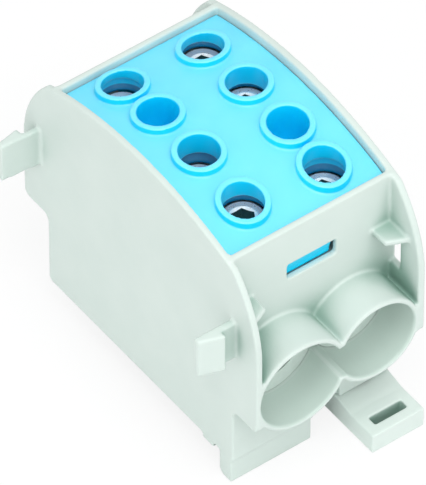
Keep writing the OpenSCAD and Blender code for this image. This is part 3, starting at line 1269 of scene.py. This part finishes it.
    def build(
        self, frame: dict, finish: bpy.types.Material, inside: bpy.types.Material
    ) -> None:
        """Builds and dresses every screw where its solid stands.

        Args:
            frame: The loaded frame.
            finish: The zinc plating.
            inside: A dark zinc painted inside the sockets as shade.
        """
        tree = self.tree(finish, inside)
        keys = {
            item.name: item.identifier
            for item in tree.interface.items_tree
            if item.item_type == "SOCKET" and item.in_out == "INPUT"
        }
        for name in screw_names(frame):
            low, high = (Vector(corner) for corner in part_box(name))
            middle = (low + high) / 2
            radius = (high.x - low.x) / 2
            blank = bpy.data.objects.new(name + "_blank", bpy.data.meshes.new("blank"))
            bpy.context.scene.collection.objects.link(blank)
            modifier = blank.modifiers.new("screw", "NODES")
            modifier.node_group = tree
            sizes = {
                "Radius": radius - self.play_mm * MM,
                "Length": high.z - low.z,
                "Socket Radius": self.socket_mm * MM / math.sqrt(3.0),
                "Socket Depth": self.socket_depth_mm * MM,
                "Pitch": self.pitch_mm * MM,
                "Thread": self.thread_mm * MM,
                "Bevel": self.bevel_mm * MM,
                "Top": (middle.x, middle.y, high.z),
            }
            for key, size in sizes.items():
                modifier[keys[key]] = size
            piece = baked(blank, name + "_threaded")
            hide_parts(name)
            dress(piece, None, name)


# ---- Studio ----


@dataclass(frozen=True)
class Lamp:
    """A soft square lamp turned to the part.

    Attributes:
        name: The lamp's name.
        place_mm: Where it hangs.
        side_mm: The side of its face.
        watts: Its power.
    """

    name: str
    place_mm: tuple[float, float, float]
    side_mm: float
    watts: float


@dataclass
class Studio:
    """The floor, the lamps, the surroundings and the camera.

    Attributes:
        floor_z_mm: Height of the floor.
        target_mm: What the camera is turned to.
        azimuth_deg: The camera's azimuth; 0 looks along +Y.
        elevation_deg: The camera's elevation.
        distance_mm: From the target to the camera.
        lens_mm: The camera's focal length.
        shift: The camera's shift across and up.
        surround: Brightness of the surroundings.
        floor_half_m: Half the side of the floor.
        floor_glow: How much of the floor shows plain white.
        lamps: The lamps.
    """

    floor_z_mm: float = -5.42
    target_mm: tuple[float, float, float] = (0.0, 0.0, 21.6)
    azimuth_deg: float = -36.635
    elevation_deg: float = 46.828
    distance_mm: float = 1539.1
    lens_mm: float = 679.4
    shift: tuple[float, float] = (-0.0203, -0.0102)
    surround: float = 0.77
    floor_half_m: float = 2.0
    floor_glow: float = 0.85
    lamps: tuple[Lamp, ...] = (
        Lamp("overhead_lamp", (-120.0, -300.0, 640.0), 420.0, 2.6),
        Lamp("front_lamp", (200.0, -640.0, 260.0), 380.0, 0.5),
        Lamp("left_lamp", (-640.0, -80.0, 260.0), 380.0, 0.7),
    )

    def camera(self) -> None:
        """Sets up the camera."""
        turn, rise = math.radians(self.azimuth_deg), math.radians(self.elevation_deg)
        back = Vector(
            (
                math.sin(turn) * math.cos(rise),
                -math.cos(turn) * math.cos(rise),
                math.sin(rise),
            )
        )
        data = bpy.data.cameras.new("studio_camera")
        data.lens = self.lens_mm
        data.sensor_width = 36.0
        data.shift_x, data.shift_y = self.shift
        data.clip_start, data.clip_end = 0.05, 20.0
        item = bpy.data.objects.new("studio_camera", data)
        item.location = Vector(self.target_mm) * MM + back * self.distance_mm * MM
        item.rotation_mode = "QUATERNION"
        item.rotation_quaternion = (-back).to_track_quat("-Z", "Y")
        bpy.context.scene.collection.objects.link(item)
        bpy.context.scene.camera = item

    def floor(self) -> None:
        """Lays a white floor that shows white and keeps a faint shadow."""
        half = self.floor_half_m
        z = self.floor_z_mm * MM
        mesh = bpy.data.meshes.new("floor")
        corners = [(-half, -half, z), (half, -half, z), (half, half, z), (-half, half, z)]
        mesh.from_pydata(corners, [], [(0, 1, 2, 3)])
        item = bpy.data.objects.new("floor", mesh)
        bpy.context.scene.collection.objects.link(item)
        material, shader = new_material("white_floor")
        tree = material.node_tree
        shader.inputs["Base Color"].default_value = (0.86, 0.87, 0.87, 1.0)
        shader.inputs["Roughness"].default_value = 0.9
        glow = tree.nodes.new("ShaderNodeEmission")
        glow.inputs["Color"].default_value = (1.0, 1.0, 1.0, 1.0)
        glow.inputs["Strength"].default_value = 1.0
        mix = tree.nodes.new("ShaderNodeMixShader")
        path = tree.nodes.new("ShaderNodeLightPath")
        seen = tree.nodes.new("ShaderNodeMath")
        seen.operation = "MULTIPLY"
        seen.inputs[1].default_value = self.floor_glow
        tree.links.new(path.outputs["Is Camera Ray"], seen.inputs[0])
        tree.links.new(seen.outputs[0], mix.inputs["Fac"])
        tree.links.new(shader.outputs[0], mix.inputs[1])
        tree.links.new(glow.outputs[0], mix.inputs[2])
        output = next(n for n in tree.nodes if n.type == "OUTPUT_MATERIAL")
        tree.links.new(mix.outputs[0], output.inputs["Surface"])
        mesh.materials.append(material)

    def surroundings(self) -> None:
        """Sets the world: white to the eye, plain soft light on the part."""
        world = bpy.data.worlds.new("studio")
        bpy.context.scene.world = world
        world.use_nodes = True
        tree = world.node_tree
        light = next(n for n in tree.nodes if n.type == "BACKGROUND")
        light.inputs["Color"].default_value = (1.0, 1.0, 1.0, 1.0)
        light.inputs["Strength"].default_value = self.surround
        seen = tree.nodes.new("ShaderNodeBackground")
        seen.inputs["Color"].default_value = (1.0, 1.0, 1.0, 1.0)
        seen.inputs["Strength"].default_value = 1.0
        path = tree.nodes.new("ShaderNodeLightPath")
        either = tree.nodes.new("ShaderNodeMath")
        either.operation = "MAXIMUM"
        tree.links.new(path.outputs["Is Camera Ray"], either.inputs[0])
        tree.links.new(path.outputs["Is Transmission Ray"], either.inputs[1])
        mix = tree.nodes.new("ShaderNodeMixShader")
        tree.links.new(either.outputs[0], mix.inputs["Fac"])
        tree.links.new(light.outputs[0], mix.inputs[1])
        tree.links.new(seen.outputs[0], mix.inputs[2])
        output = next(n for n in tree.nodes if n.type == "OUTPUT_WORLD")
        tree.links.new(mix.outputs[0], output.inputs["Surface"])

    def hang(self, lamp: Lamp) -> None:
        """Adds one lamp, turned to the part."""
        data = bpy.data.lights.new(lamp.name, "AREA")
        data.shape = "SQUARE"
        data.size = lamp.side_mm * MM
        data.energy = lamp.watts
        item = bpy.data.objects.new(lamp.name, data)
        item.location = Vector(lamp.place_mm) * MM
        aim = Vector(self.target_mm) * MM - item.location
        item.rotation_mode = "QUATERNION"
        item.rotation_quaternion = aim.to_track_quat("-Z", "Y")
        bpy.context.scene.collection.objects.link(item)

    def build(self) -> None:
        """Builds the studio."""
        bpy.context.scene.view_settings.view_transform = "Standard"
        self.camera()
        self.floor()
        self.surroundings()
        for lamp in self.lamps:
            self.hang(lamp)
        LOG.info("studio: ready")


def main() -> None:
    """Builds the studio and every sub-assembly in order."""
    logging.basicConfig(level=logging.INFO, format="%(name)s %(message)s")
    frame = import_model()
    grey, blue = GREY.material(), BLUE.material()
    Studio().build()
    Housing().build(frame, grey)
    Cover().build(frame, blue)
    ClampBlock().build(frame, TIN.material())
    ClampScrews().build(frame, ZINC.material(), SOCKET_SHADE_ZINC.material())
    RailLatch().build(frame, GREY_PAINTED_LIGHTER.material())


if __name__ == "__main__":
    main()
